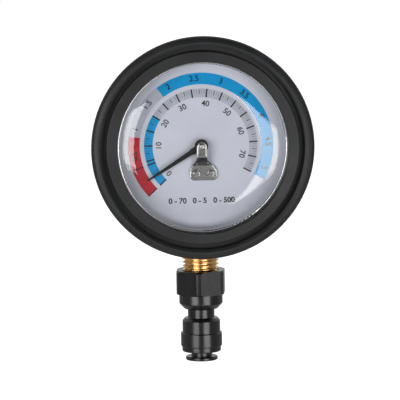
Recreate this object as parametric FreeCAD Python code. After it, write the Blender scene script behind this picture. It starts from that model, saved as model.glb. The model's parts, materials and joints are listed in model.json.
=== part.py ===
import FreeCAD, Part
import math
import os

# Pressure gauge in a rubber boot, on a push-in tube coupling.
# Millimetres, +Z up along the stem, dial faces -Y, origin in the middle of
# the tube port's mouth. Depths called front and back are measured towards
# the viewer from the stem's axis.

V = FreeCAD.Vector

# Clearances
running_gap = 0.05
press_gap = 0.01
screw_gap = 0.03
seat_gap = 0.05
rubber_gap = 0.1

# Room for picking edges by their place
edge_slack = 0.01

# Tube port and collet
port_radius = 3.05
collet_flange_radius = 5.9
collet_flange_thickness = 1.3
collet_neck_radius = 3.8
collet_stroke = 1.5
collet_overtravel = 0.4
collet_bead_radius = 4.8
collet_bead_length = 1.4
collet_finger_radius = 4.3
collet_finger_length = 3.2
collet_slot_width = 0.6
collet_slots = 4
collet_round = 0.35
collet_relief = 0.25

# Ring of steel teeth in the collet's fingers
teeth_thickness = 0.3
teeth_bite = 0.2
teeth_depth = 0.6
teeth_from_end = 1.4
teeth_count = 12
teeth_notch_width = 0.5

# End cap of the coupling
cap_nose_radius = 7.15
cap_nose_length = 1.9
cap_radius = 7.6
cap_length = 7.05
cap_lip_thickness = 1.4
cap_room_radius = 5.2
cap_edge_round = 0.4
cap_step_round = 0.4
cap_top_round = 0.3
cap_hole_round = 0.2

# Coupling body, from its spigot up to its hexagon
spigot_radius = 6.2
spigot_length = 3.2
sleeve_radius = 6.95
sleeve_length = 4.45
sleeve_chamfer_length = 1.0
sleeve_chamfer_radius = 6.1
neck_radius = 4.9
neck_length = 3.45
collar_start_radius = 6.15
collar_radius = 8.0
collar_chamfer_length = 1.95
collar_length = 3.5
hexagon_across_flats = 17.0
hexagon_length = 8.9
hexagon_bevel_radius = 9.55
hexagon_bevel_length = 0.5
hexagon_corner_width = 1.35
hexagon_turn_degrees = -9.2
coupling_edge_round = 0.3
coupling_inner_round = 0.25
collar_edge_round = 0.5
tube_stop_radius = 2.0
tube_stop_depth = 2.6
thread_relief_length = 1.0

# Seal on the tube
oring_section_radius = 0.9
oring_squeeze = 0.1
oring_groove_radius = 4.8
spacer_thickness = 1.0
spacer_tube_gap = 0.25
tube_room_gap = 0.2

# Taper pipe thread of the socket
thread_pitch = 1.411
thread_major_radius = 6.858
thread_length = 13.3
thread_height = 1.11
thread_taper = 1.0 / 32.0
thread_crest_width = 0.1
thread_ridge_sink = 0.15
thread_free_length = 6.4

# Socket, all in brass
flats_across = 14.0
flats_length = 7.5
flats_corner_round = 0.6
stem_neck_radius = 6.0
stem_bore_radius = 1.5
flats_below_case = 1.25
block_corner_gap = 0.2
block_side_wall = 0.75
block_back_wall = 1.05
block_coil_gap = 1.75
block_upper_height = 6.0
tube_seat_depth = 5.0
tube_feed_radius = 0.6
restrictor_radius = 2.4
restrictor_length = 4.0
restrictor_hole_radius = 0.4
restrictor_slot_width = 0.8
restrictor_slot_depth = 0.9

# Dial
dial_rim_gap = 0.3
dial_thickness = 0.8
dial_back = 8.2
dial_hole_radius = 1.7

# Case, bezel, window and gasket
case_radius = 31.75
case_wall = 0.75
case_movement_room = 2.55
case_flange_width = 1.45
case_bottom_round = 2.4
bezel_overlap = 1.55
bezel_wall = 0.8
bezel_crimp_gap = 0.55
bezel_round = 0.7
bezel_lip_round = 0.35
gasket_thickness = 1.2
gasket_width = 2.7
window_thickness = 2.0
window_dome = 2.2
window_shoulder = 4.7
window_shoulder_round = 20.0
plug_radius = 3.5
plug_rise = 12.0
plug_head_overlap = 0.9
plug_head_height = 1.0

# Rubber boot
boot_wall = 3.55
boot_back_wall = 2.4
boot_front_bead_height = 5.2
boot_rear_bead_height = 1.1
boot_front_bead_length = 8.7
boot_front_bead_taper = 0.9
boot_rear_bead_length = 6.5
boot_bead_slope = 1.6
boot_lip_setback = 0.8
boot_lip_thickness = 2.2
boot_lip_width = 4.1
boot_groove_width = 1.7
boot_groove_depth = 3.9
boot_crest_offset = 1.2
boot_crest_height = 1.4
boot_crest_round = 0.9
boot_crest_fall = 0.9
boot_shoulder_fall = 0.7
boot_shoulder_round = 1.7
boot_bead_round = 1.5
boot_flank_round = 1.0
boot_groove_round = 0.3
boot_lip_outer_round = 0.4
boot_lip_inner_round = 0.5
boot_back_round = 2.2
boot_opening_round = 0.8
boot_rear_opening_radius = 23.0
boot_stem_hole_gap = 0.3

# Pointer movement
pointer_rest_degrees = 148.25
pointer_length = 23.2
pointer_arm_half_width = 1.15
pointer_arm_end = 4.35
pointer_blade_half_width = 0.93
pointer_tip_half_width = 0.3
pointer_thickness = 0.4
pointer_window_air = 0.3
pointer_lift = 1.6
pointer_ring_radius = 2.4
hub_radius = 2.45
hub_step_radius = 1.95
hub_head_thickness = 0.5
hub_step_length = 1.1
hub_edge_round = 0.15
arbor_radius = 1.0
arbor_front_pivot_radius = 0.9
arbor_rear_pivot_radius = 0.6
arbor_proud = 0.5
arbor_tip_round = 0.25
arbor_rear_round = 0.1
arbor_end_play = 0.2
rear_pivot_length = 2.0

# Bridge over the pointer and its screws
bridge_thickness = 0.8
bridge_rise = 3.4
bridge_tongue_half_width = 1.8
bridge_foot_half_width = 5.0
bridge_foot_shift = 0.8
bridge_side_bow = 0.35
bridge_side_straight = 0.8
bridge_shoulder_share = 0.125
bridge_flare_start = 3.5
bridge_foot_length = 5.5
bridge_foot_round = 1.7
bridge_riser_top = 3.6
bridge_screw_below_block_top = 2.3
bridge_screw_from_foot_end = 2.4
bridge_screw_spacing = 5.2
bridge_hole_flare = 0.2
bridge_screw_head_radius = 1.6
bridge_screw_head_height = 1.1
bridge_screw_radius = 0.9
bridge_screw_length = 5.5
screw_hole_gap = 0.15
screw_slot_width = 0.45
screw_head_round_share = 0.55
screw_slot_depth = 0.5

# Coiled pressure tube and its end tab
coil_radius = 5.5
coil_pitch = 2.0
coil_turns = 5
coil_steps = 4
coil_samples = 40
coil_tube_radius = 0.75
tab_gap = 0.35
tab_thickness = 0.8
tab_dial_gap = 0.8
tab_ring_radius = 2.0
tab_half_width = 0.8

# Rear bracket, its bush and screws
bracket_thickness = 1.0
bracket_half_width = 4.5
bracket_above_step = 0.4
bracket_top_radius = 3.5
bush_radius = 2.0
bush_flange_radius = 2.7
bush_flange_thickness = 0.5
bracket_screw_spacing = 5.6
bracket_screw_head_radius = 1.3
bracket_screw_head_height = 0.9
bracket_screw_radius = 0.75
bracket_screw_length = 4.0

# Screws that hold the case to the socket
case_screw_below_step = 4.0
case_screw_spacing = 9.0
case_screw_head_radius = 2.2
case_screw_head_height = 1.4
case_screw_radius = 1.4
case_screw_length = 6.0
case_screw_slot_width = 0.7
case_screw_slot_depth = 0.8

# Heights along the stem, worked out from the sizes above
collet_front_gap = collet_stroke + collet_overtravel
cap_bottom = collet_flange_thickness + collet_front_gap
cap_top = cap_bottom + cap_length
spigot_bottom = cap_top - spigot_length
sleeve_top = cap_top + sleeve_length
neck_bottom = sleeve_top + sleeve_chamfer_length
neck_top = neck_bottom + neck_length
collar_wide = neck_top + collar_chamfer_length
collar_top = collar_wide + collar_length
hexagon_side = hexagon_across_flats / math.sqrt(3)
hexagon_top = collar_top + hexagon_length
thread_top = hexagon_top + thread_free_length
thread_bottom = thread_top - thread_length
flats_top = thread_top + flats_length
dial_height = flats_top + flats_below_case + case_radius

# Radii and drops from the dial's centre
case_inside_radius = case_radius - case_wall
dial_radius = case_inside_radius - dial_rim_gap
block_half_width = coil_radius + coil_tube_radius + block_side_wall
block_top_drop = coil_radius + coil_tube_radius + block_coil_gap
block_step_drop = block_top_drop + block_upper_height
block_corner_radius = case_inside_radius - block_corner_gap
block_bottom_drop = math.sqrt(block_corner_radius ** 2 - block_half_width ** 2)
block_bottom = dial_height - block_bottom_drop
block_top = dial_height - block_top_drop
block_step = dial_height - block_step_drop
bridge_screw_drop = block_top_drop + bridge_screw_below_block_top
bridge_foot_end = bridge_screw_drop + bridge_screw_from_foot_end
bridge_riser_bottom = bridge_foot_end - bridge_foot_length
bridge_flare_end = bridge_foot_end - bridge_foot_round - bridge_side_straight
bracket_end_drop = block_step_drop - bracket_above_step
bracket_screw_drop = (block_top_drop + bracket_end_drop) / 2
case_screw_drop = block_step_drop + case_screw_below_step
case_flange_radius = case_radius + case_flange_width
bezel_inner_radius = case_radius - bezel_overlap
bezel_skirt_inside = case_flange_radius + seat_gap
bezel_outer_radius = bezel_skirt_inside + bezel_wall
bezel_crimp_radius = case_radius + bezel_crimp_gap
boot_case_room = case_radius + rubber_gap
boot_wall_radius = boot_case_room + boot_wall
boot_front_bead_radius = boot_wall_radius + boot_front_bead_height
boot_rear_bead_radius = boot_wall_radius + boot_rear_bead_height
boot_lip_radius = bezel_inner_radius + boot_lip_setback
boot_groove_inner_radius = boot_lip_radius + boot_lip_width
boot_groove_outer_radius = boot_groove_inner_radius + boot_groove_width
boot_crest_radius = boot_groove_outer_radius + boot_crest_offset
boot_stem_hole_radius = flats_across / math.sqrt(2) + boot_stem_hole_gap

# Collet and seal positions inside the coupling
collet_bead_bottom = cap_bottom + cap_lip_thickness + seat_gap
collet_bead_top = collet_bead_bottom + collet_bead_length
collet_end = collet_bead_top + collet_finger_length
teeth_bottom = collet_end - teeth_from_end
spacer_bottom = collet_end + collet_stroke + collet_overtravel
oring_bottom = spacer_bottom + spacer_thickness + seat_gap
oring_middle = oring_bottom + oring_section_radius
groove_top = oring_middle + oring_section_radius + seat_gap
tube_stop = groove_top + tube_stop_depth
thread_room_bottom = thread_bottom - thread_relief_length

# Depths towards the viewer, worked out from the sizes above
dial_front = dial_back + dial_thickness
pointer_back = dial_front + pointer_lift
pointer_front = pointer_back + pointer_thickness
hub_back = pointer_front - hub_step_length
bridge_top_back = dial_front + bridge_rise
bridge_top_front = bridge_top_back + bridge_thickness
bridge_foot_front = dial_front + bridge_thickness
window_back = bridge_top_front + arbor_proud + pointer_window_air
window_front = window_back + window_thickness
case_flange_front = window_back - gasket_thickness
bezel_front = window_front + bezel_wall
boot_lip_back = bezel_front + rubber_gap
boot_lip_front = boot_lip_back + boot_lip_thickness
boot_front = boot_lip_front + boot_crest_height
tab_back = dial_back - tab_dial_gap - tab_thickness
coil_front = tab_back - tab_gap - coil_tube_radius
coil_back = coil_front - coil_pitch * coil_turns
block_back = coil_back - coil_tube_radius - block_back_wall
bracket_back = block_back - bracket_thickness
bush_front = block_back + bush_flange_thickness
arbor_shoulder = bush_front + arbor_end_play
case_inside_back = bracket_back - bracket_screw_head_height - case_movement_room
case_back = case_inside_back - case_wall
boot_back_inside = case_back - rubber_gap
boot_back = boot_back_inside - boot_back_wall


def thread_radius(height):
    """Crest radius of the taper thread at a height."""
    return thread_major_radius - (thread_top - height) * thread_taper


def dial_point(radius, front):
    """Point at a radius from the dial's axis and a depth towards the viewer."""
    return V(radius, -front, dial_height)


def stem_point(radius, height):
    """Point at a radius from the stem's axis and a height."""
    return V(radius, 0, height)


def face_point(across, rise):
    """Point of a front outline, from the dial's centre."""
    return V(across, 0, dial_height + rise)


def rounded_face(corners, place):
    """Face on corners (a, b) or (a, b, round radius), put in space by place."""
    points = [place(corner[0], corner[1]) for corner in corners]
    edges = []
    ends = []
    for index, corner in enumerate(corners):
        here = points[index]
        if len(corner) < 3:
            ends.append((here, here))
            continue
        before = (points[index - 1] - here).normalize()
        after = (points[(index + 1) % len(points)] - here).normalize()
        half_angle = before.getAngle(after) / 2
        reach = corner[2] / math.tan(half_angle)
        inset = corner[2] / math.sin(half_angle) - corner[2]
        start = here + before * reach
        end = here + after * reach
        middle = here + (before + after).normalize() * inset
        edges.append(Part.Arc(start, middle, end).toShape())
        ends.append((start, end))
    for index, (start, end) in enumerate(ends):
        last_end = ends[index - 1][1]
        if (start - last_end).Length > 1e-6:
            edges.append(Part.LineSegment(last_end, start).toShape())
    return Part.Face(Part.Wire(Part.sortEdges(edges)[0]))


def turned_on_dial(corners):
    """Solid turned about the dial's axis from (radius, front) corners."""
    face = rounded_face(corners, dial_point)
    return face.revolve(V(0, 0, dial_height), V(0, 1, 0), 360)


def turned_on_stem(corners):
    """Solid turned about the stem's axis from (radius, height) corners."""
    return rounded_face(corners, stem_point).revolve(V(0, 0, 0), V(0, 0, 1), 360)


def dial_disc(radius, back, front, across=0, rise=0):
    """Round bar parallel to the dial's axis."""
    return Part.makeCylinder(radius, front - back, V(across, -back, dial_height + rise), V(0, -1, 0))


def stem_disc(radius, bottom, top):
    """Round bar on the stem's axis."""
    return Part.makeCylinder(radius, top - bottom, V(0, 0, bottom))


def plate(corners, back, front):
    """Front outline, from the dial's centre, as a plate between two depths."""
    solid = rounded_face(corners, face_point).extrude(V(0, back - front, 0))
    solid.translate(V(0, -back, 0))
    return solid


def block(half_width, bottom, top, back, front):
    """Box centred across the stem, between two heights and two depths."""
    corner = V(-half_width, -front, bottom)
    return Part.makeBox(2 * half_width, front - back, top - bottom, corner)


def around_stem(tool, count):
    """Copies of a tool, evenly turned about the stem's axis."""
    copies = []
    for index in range(count):
        copy = tool.copy()
        copy.rotate(V(0, 0, 0), V(0, 0, 1), 360.0 * index / count)
        copies.append(copy)
    return copies


def slotted_screw(head_radius, head_height, shank_radius, shank_length, slot_width, slot_depth):
    """Pan-head screw along +Z, with the head's seat at the origin."""
    head = Part.makeCylinder(head_radius, head_height)
    rim = [edge for edge in head.Edges if edge.BoundBox.ZMin > head_height - edge_slack and edge.Closed]
    head = head.makeFillet(head_height * screw_head_round_share, rim)
    slot_corner = V(-head_radius * 1.5, -slot_width / 2, head_height - slot_depth)
    slot = Part.makeBox(head_radius * 3, slot_width, slot_depth * 2, slot_corner)
    shank = Part.makeCylinder(shank_radius, shank_length, V(0, 0, -shank_length))
    return head.cut(slot).fuse(shank).removeSplitter()


def facing(screw, tilt, across, front, rise):
    """Screw turned about X and moved to its seat, from the dial's centre."""
    placed = screw.copy()
    placed.rotate(V(0, 0, 0), V(1, 0, 0), tilt)
    placed.translate(V(across, -front, dial_height + rise))
    return placed


def screw_pair(screw, tilt, spacing, front, rise, shift=0):
    """Two equal screws, side by side."""
    sides = (shift - spacing / 2, shift + spacing / 2)
    return Part.makeCompound([facing(screw, tilt, across, front, rise) for across in sides])


def pair_of_holes(radius, spacing, back, front, rise, shift=0):
    """Two holes, side by side, for a screw pair."""
    sides = (shift - spacing / 2, shift + spacing / 2)
    return [dial_disc(radius, back, front, across, rise) for across in sides]


def pipe_thread():
    """Tapered core with one helical ridge, trimmed at both ends."""
    ridge_bottom = thread_bottom - 1.5 * thread_pitch
    ridge_height = thread_length + 2.5 * thread_pitch
    core_bottom = thread_bottom - 4 * thread_pitch
    core_top = thread_top + 4 * thread_pitch
    crest = thread_radius(ridge_bottom)
    root = crest - thread_height - thread_ridge_sink
    flank = thread_pitch / 2 - thread_ridge_sink / 3
    tip = thread_crest_width / 2
    taper_degrees = math.degrees(math.atan(thread_taper))
    helix = Part.makeHelix(thread_pitch, ridge_height, crest, taper_degrees)
    profile = Part.makePolygon([V(root, 0, -flank), V(crest, 0, -tip), V(crest, 0, tip),
                                V(root, 0, flank), V(root, 0, -flank)])
    ridge = Part.Wire(helix).makePipeShell([profile], True, True)
    ridge.translate(V(0, 0, ridge_bottom))
    core = Part.makeCone(thread_radius(core_bottom) - thread_height, thread_radius(core_top) - thread_height,
                         core_top - core_bottom, V(0, 0, core_bottom))
    return core.fuse(ridge).common(stem_disc(2 * thread_major_radius, thread_bottom, thread_top))


def socket():
    """Threaded stem, wrench flats and the block that carries the movement."""
    flats_half = flats_across / 2
    flats = block(flats_half, thread_top, flats_top, -flats_half, flats_half)
    upright = [edge for edge in flats.Edges if edge.BoundBox.ZLength > flats_length / 2]
    flats = flats.makeFillet(flats_corner_round, upright)
    neck = stem_disc(stem_neck_radius, flats_top, block_bottom)
    lower = block(block_half_width, block_bottom, block_step, case_inside_back, dial_back)
    low_back = [edge for edge in lower.Edges if edge.BoundBox.ZMax < block_bottom + edge_slack
                and edge.BoundBox.YMin > -case_inside_back - edge_slack]
    lower = lower.makeChamfer(case_bottom_round, low_back)
    upper = block(block_half_width, block_step, block_top, block_back, dial_back)
    body = pipe_thread().fuse([flats, neck, lower, upper]).removeSplitter()
    feed_height = block_top - tube_seat_depth
    seat_radius = coil_tube_radius + press_gap
    tube_seat = Part.makeCylinder(seat_radius, tube_seat_depth, V(-coil_radius, -coil_back, feed_height))
    feed_reach = math.hypot(coil_radius, coil_back)
    feed_way = V(-coil_radius, -coil_back, 0)
    feed = Part.makeCylinder(tube_feed_radius, feed_reach, V(0, 0, feed_height), feed_way)
    bore = stem_disc(stem_bore_radius, thread_bottom, feed_height)
    restrictor_seat = stem_disc(restrictor_radius + press_gap, thread_bottom,
                                thread_bottom + restrictor_length)
    holes = [tube_seat, feed, bore, restrictor_seat]
    holes += pair_of_holes(bridge_screw_radius + screw_gap, bridge_screw_spacing,
                           bridge_foot_front - bridge_screw_length - screw_gap, dial_back,
                           -bridge_screw_drop, bridge_foot_shift)
    holes += pair_of_holes(bracket_screw_radius + screw_gap, bracket_screw_spacing, block_back,
                           bracket_back + bracket_screw_length + screw_gap, -bracket_screw_drop)
    holes += pair_of_holes(case_screw_radius + screw_gap, case_screw_spacing, case_inside_back,
                           case_back + case_screw_length + screw_gap, -case_screw_drop)
    return body.cut(holes)


def restrictor():
    """Small screw with a fine hole, in the end of the stem's bore."""
    body = stem_disc(restrictor_radius, thread_bottom, thread_bottom + restrictor_length)
    hole = stem_disc(restrictor_hole_radius, thread_bottom, thread_bottom + restrictor_length)
    slot = block(restrictor_slot_width / 2, thread_bottom, thread_bottom + restrictor_slot_depth,
                 -restrictor_radius, restrictor_radius)
    return body.cut([hole, slot])


def coupling_body():
    """Black female adaptor: spigot, sleeve, neck, collar and hexagon."""
    turned = turned_on_stem([
        (tube_stop_radius, spigot_bottom), (spigot_radius, spigot_bottom),
        (spigot_radius, cap_top), (sleeve_radius, cap_top),
        (sleeve_radius, sleeve_top), (sleeve_chamfer_radius, neck_bottom, coupling_edge_round),
        (neck_radius, neck_bottom, coupling_inner_round), (neck_radius, neck_top, coupling_inner_round),
        (collar_start_radius, neck_top, coupling_edge_round),
        (collar_radius, collar_wide, collar_edge_round),
        (collar_radius, collar_top), (tube_stop_radius, collar_top)])
    corner_radius = math.hypot(hexagon_across_flats, hexagon_side - hexagon_corner_width / math.sqrt(3)) / 2
    corner_half_degrees = math.degrees(math.asin(hexagon_corner_width / 2 / corner_radius))
    corners = []
    for index in range(12):
        side = corner_half_degrees if index % 2 else -corner_half_degrees
        turn = math.radians(60 * (index // 2) - 90 + hexagon_turn_degrees + side)
        corners.append(V(corner_radius * math.cos(turn), corner_radius * math.sin(turn), collar_top))
    prism = Part.Face(Part.makePolygon(corners + corners[:1])).extrude(V(0, 0, hexagon_length))
    bevel = turned_on_stem([
        (0, collar_top), (hexagon_bevel_radius - hexagon_bevel_length, collar_top),
        (hexagon_bevel_radius, collar_top + hexagon_bevel_length),
        (hexagon_bevel_radius, hexagon_top - hexagon_bevel_length),
        (hexagon_bevel_radius - hexagon_bevel_length, hexagon_top), (0, hexagon_top)])
    solid = turned.fuse(prism.common(bevel))
    collet_room = stem_disc(cap_room_radius, spigot_bottom, spacer_bottom)
    seal_room = stem_disc(oring_groove_radius, spacer_bottom, groove_top)
    tube_room = stem_disc(port_radius + tube_room_gap, groove_top, tube_stop)
    flow = stem_disc(tube_stop_radius, tube_stop, thread_room_bottom)
    room_bottom_radius = thread_radius(thread_room_bottom) + seat_gap
    room_top_radius = thread_radius(hexagon_top) + seat_gap
    thread_room = Part.makeCone(room_bottom_radius, room_top_radius,
                                hexagon_top - thread_room_bottom, V(0, 0, thread_room_bottom))
    return solid.cut([collet_room, seal_room, tube_room, flow, thread_room])


def coupling_cap():
    """End cap that closes the coupling round the collet."""
    lip_top = cap_bottom + cap_lip_thickness
    nose_top = cap_bottom + cap_nose_length
    collet_hole = collet_neck_radius + running_gap
    spigot_hole = spigot_radius + press_gap
    return turned_on_stem([
        (collet_hole, cap_bottom, cap_hole_round), (cap_nose_radius, cap_bottom, cap_edge_round),
        (cap_nose_radius, nose_top), (cap_radius, nose_top, cap_step_round),
        (cap_radius, cap_top, cap_top_round), (spigot_hole, cap_top),
        (spigot_hole, spigot_bottom), (cap_room_radius, spigot_bottom),
        (cap_room_radius, lip_top), (collet_hole, lip_top)])


def collet():
    """Release collet: outer flange, neck and the slotted gripping fingers."""
    turned = turned_on_stem([
        (port_radius, 0), (collet_flange_radius, 0, collet_round),
        (collet_flange_radius, collet_flange_thickness, collet_round),
        (collet_neck_radius, collet_flange_thickness),
        (collet_neck_radius, collet_bead_bottom),
        (collet_bead_radius, collet_bead_bottom),
        (collet_bead_radius, collet_bead_top), (collet_finger_radius, collet_bead_top),
        (collet_finger_radius, collet_end), (port_radius, collet_end)])
    groove = stem_disc(port_radius + teeth_depth, teeth_bottom, teeth_bottom + teeth_thickness)
    relief = stem_disc(port_radius + collet_relief, teeth_bottom, collet_end)
    corner = V(0, -collet_slot_width / 2, collet_bead_bottom + seat_gap)
    slot = Part.makeBox(2 * collet_bead_radius, collet_slot_width, collet_end, corner)
    return turned.cut([groove, relief] + around_stem(slot, collet_slots))


def grab_ring():
    """Ring of steel teeth that lies in the collet's groove."""
    outer = port_radius + teeth_depth - press_gap
    inner = port_radius - teeth_bite
    bottom = teeth_bottom + press_gap
    top = teeth_bottom + teeth_thickness - press_gap
    ring = stem_disc(outer, bottom, top).cut(stem_disc(inner, bottom, top))
    notch_reach = port_radius + teeth_depth / 2
    notch = Part.makeBox(notch_reach, teeth_notch_width, teeth_thickness,
                         V(0, -teeth_notch_width / 2, teeth_bottom))
    return ring.cut(around_stem(notch, teeth_count))


def tube_oring():
    """O-ring that seals on the pushed-in tube."""
    middle_radius = port_radius - oring_squeeze + oring_section_radius
    return Part.makeTorus(middle_radius, oring_section_radius, V(0, 0, oring_middle))


def oring_spacer():
    """Washer between the collet's room and the O-ring."""
    outer = stem_disc(oring_groove_radius - press_gap, spacer_bottom, spacer_bottom + spacer_thickness)
    bore = stem_disc(port_radius + spacer_tube_gap, spacer_bottom, spacer_bottom + spacer_thickness)
    return outer.cut(bore)


def case():
    """Drawn steel cup with a rolled front flange."""
    inside = case_inside_radius
    flange_back = case_flange_front - case_wall
    cup = turned_on_dial([
        (0, case_back), (case_radius, case_back, case_bottom_round),
        (case_radius, flange_back), (case_flange_radius, flange_back),
        (case_flange_radius, case_flange_front), (inside, case_flange_front),
        (inside, case_inside_back, case_bottom_round - case_wall), (0, case_inside_back)])
    stem_hole = stem_disc(stem_neck_radius + seat_gap, flats_top, block_bottom)
    holes = [stem_hole, dial_disc(plug_radius, case_back, case_inside_back, 0, plug_rise)]
    holes += pair_of_holes(case_screw_radius + screw_hole_gap, case_screw_spacing, case_back,
                           case_inside_back, -case_screw_drop)
    return cup.cut(holes)


def bezel():
    """Ring crimped over the case's flange, with its front wall on the window."""
    crimp_front = case_flange_front - case_wall - seat_gap
    crimp_back = crimp_front - bezel_wall
    return turned_on_dial([
        (bezel_inner_radius, bezel_front, bezel_lip_round), (bezel_outer_radius, bezel_front, bezel_round),
        (bezel_outer_radius, crimp_back), (bezel_crimp_radius, crimp_back),
        (bezel_crimp_radius, crimp_front), (bezel_skirt_inside, crimp_front),
        (bezel_skirt_inside, window_front), (bezel_inner_radius, window_front)])


def window():
    """Clear pane of even thickness: flat in the middle, rounded down to a rim under the bezel."""
    rim = bezel_inner_radius - seat_gap
    top = window_front + window_dome
    shift = window_thickness * math.tan(math.atan(window_dome / window_shoulder) / 2)
    return turned_on_dial([
        (0, top - window_thickness),
        (rim - window_shoulder - shift, top - window_thickness, window_shoulder_round - window_thickness),
        (rim - shift, window_back), (case_flange_radius, window_back), (case_flange_radius, window_front),
        (rim, window_front), (rim - window_shoulder, top, window_shoulder_round), (0, top)])


def window_gasket():
    """Flat rubber ring between the case's flange and the window."""
    inside = case_flange_radius - gasket_width
    ring = dial_disc(case_flange_radius, case_flange_front, window_back)
    return ring.cut(dial_disc(inside, case_flange_front, window_back))


def blowout_plug():
    """Rubber plug that vents the case at its back."""
    head = dial_disc(plug_radius + plug_head_overlap, case_back - plug_head_height, case_back, 0, plug_rise)
    neck = dial_disc(plug_radius - press_gap, case_back, case_inside_back, 0, plug_rise)
    inner = dial_disc(plug_radius + plug_head_overlap / 2, case_inside_back,
                      case_inside_back + plug_head_height / 2, 0, plug_rise)
    return head.fuse([neck, inner]).removeSplitter()


def rubber_boot():
    """Thick moulded boot round the case, open at the dial, the back and the stem."""
    bezel_room = bezel_outer_radius + rubber_gap
    bezel_room_back = case_flange_front - 2 * case_wall - bezel_wall - rubber_gap
    rear_bead_front = boot_back + boot_rear_bead_length
    front_bead_back = boot_front - boot_front_bead_length
    groove_floor = boot_front - boot_groove_depth
    front_bead_back_radius = boot_front_bead_radius - boot_front_bead_taper
    shell = turned_on_dial([
        (boot_rear_opening_radius, boot_back, boot_opening_round),
        (boot_rear_bead_radius, boot_back, boot_back_round),
        (boot_rear_bead_radius, rear_bead_front, boot_flank_round),
        (boot_wall_radius, rear_bead_front + boot_bead_slope, boot_flank_round),
        (boot_wall_radius, front_bead_back - boot_bead_slope, boot_flank_round),
        (front_bead_back_radius, front_bead_back, boot_bead_round),
        (boot_front_bead_radius, boot_front - boot_shoulder_fall, boot_shoulder_round),
        (boot_crest_radius, boot_front, boot_crest_round),
        (boot_groove_outer_radius, boot_front - boot_crest_fall, boot_groove_round),
        (boot_groove_outer_radius, groove_floor), (boot_groove_inner_radius, groove_floor),
        (boot_groove_inner_radius, boot_lip_front, boot_lip_outer_round),
        (boot_lip_radius, boot_lip_front, boot_lip_inner_round),
        (boot_lip_radius, boot_lip_back), (bezel_room, boot_lip_back), (bezel_room, bezel_room_back),
        (boot_case_room, bezel_room_back), (boot_case_room, boot_back_inside, case_bottom_round),
        (boot_rear_opening_radius, boot_back_inside)])
    stem_hole = stem_disc(boot_stem_hole_radius, dial_height - 2 * boot_front_bead_radius,
                          dial_height - case_radius / 2)
    return shell.cut(stem_hole)


def dial():
    """Printed metal disc, held on the socket by the bridge's screws."""
    disc = dial_disc(dial_radius, dial_back, dial_front)
    holes = [dial_disc(dial_hole_radius, dial_back, dial_front)]
    holes += pair_of_holes(bridge_screw_radius + screw_hole_gap, bridge_screw_spacing, dial_back,
                           dial_front, -bridge_screw_drop, bridge_foot_shift)
    return disc.cut(holes)


def bell_side(mirror):
    """Edges down one side of the bridge's outline, to the middle of its foot."""
    shift = bridge_foot_shift
    shoulder_shift = shift * bridge_shoulder_share
    tongue_side = mirror * bridge_tongue_half_width
    foot_side = mirror * bridge_foot_half_width + shift
    bow = mirror * bridge_side_bow
    middle_drop = (bridge_flare_start + bridge_flare_end) / 2
    shoulder_drop = (bridge_flare_start + middle_drop) / 2
    skirt_drop = (bridge_flare_end + middle_drop) / 2
    round_in = bridge_foot_round * (1 - math.sqrt(0.5))
    tongue = face_point(tongue_side, 0)
    flare = face_point(tongue_side, -bridge_flare_start)
    shoulder = face_point(tongue_side + bow + shoulder_shift, -shoulder_drop)
    middle = face_point((tongue_side + foot_side) / 2, -middle_drop)
    skirt = face_point(foot_side - bow - shoulder_shift, -skirt_drop)
    side = face_point(foot_side, -bridge_flare_end)
    low = face_point(foot_side, -bridge_foot_end + bridge_foot_round)
    corner = face_point(foot_side - mirror * round_in, -bridge_foot_end + round_in)
    foot = face_point(foot_side - mirror * bridge_foot_round, -bridge_foot_end)
    return [Part.LineSegment(tongue, flare), Part.Arc(flare, shoulder, middle),
            Part.Arc(middle, skirt, side), Part.LineSegment(side, low), Part.Arc(low, corner, foot),
            Part.LineSegment(foot, face_point(shift, -bridge_foot_end))]


def bridge():
    """Bell-shaped sheet bridge that carries the arbor's front pivot."""
    bend_shift = bridge_thickness / 4
    top_end = 2 * bridge_tongue_half_width
    side = [(-bridge_foot_end, dial_front), (-bridge_riser_bottom + bend_shift, dial_front),
            (-bridge_riser_top + bend_shift, bridge_top_back), (top_end, bridge_top_back),
            (top_end, bridge_top_front), (-bridge_riser_top - bend_shift, bridge_top_front),
            (-bridge_riser_bottom - bend_shift, bridge_foot_front), (-bridge_foot_end, bridge_foot_front)]
    left = bridge_foot_shift - bridge_foot_half_width
    strip = rounded_face(side, lambda rise, front: V(left, -front, dial_height + rise))
    strip = strip.extrude(V(2 * bridge_foot_half_width, 0, 0))
    tongue_top = Part.Arc(face_point(bridge_tongue_half_width, 0), face_point(0, bridge_tongue_half_width),
                          face_point(-bridge_tongue_half_width, 0))
    curves = bell_side(1) + bell_side(-1) + [tongue_top]
    wire = Part.Wire(Part.sortEdges([curve.toShape() for curve in curves])[0])
    outline = Part.Face(wire).extrude(V(0, -2 * bridge_top_front, 0))
    pivot_hole = arbor_front_pivot_radius + running_gap
    flare = Part.makeCone(pivot_hole, pivot_hole + bridge_hole_flare, bridge_hole_flare,
                          V(0, bridge_hole_flare - bridge_top_front, dial_height), V(0, -1, 0))
    holes = [dial_disc(pivot_hole, bridge_top_back, bridge_top_front), flare]
    holes += pair_of_holes(bridge_screw_radius + screw_hole_gap, bridge_screw_spacing, dial_front,
                           bridge_foot_front, -bridge_screw_drop, bridge_foot_shift)
    return strip.common(outline).cut(holes)


def bridge_screws():
    """Two slotted screws through the bridge's foot and the dial."""
    screw = slotted_screw(bridge_screw_head_radius, bridge_screw_head_height, bridge_screw_radius,
                          bridge_screw_length, screw_slot_width, screw_slot_depth)
    return screw_pair(screw, 90, bridge_screw_spacing, bridge_foot_front, -bridge_screw_drop,
                      bridge_foot_shift)


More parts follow.
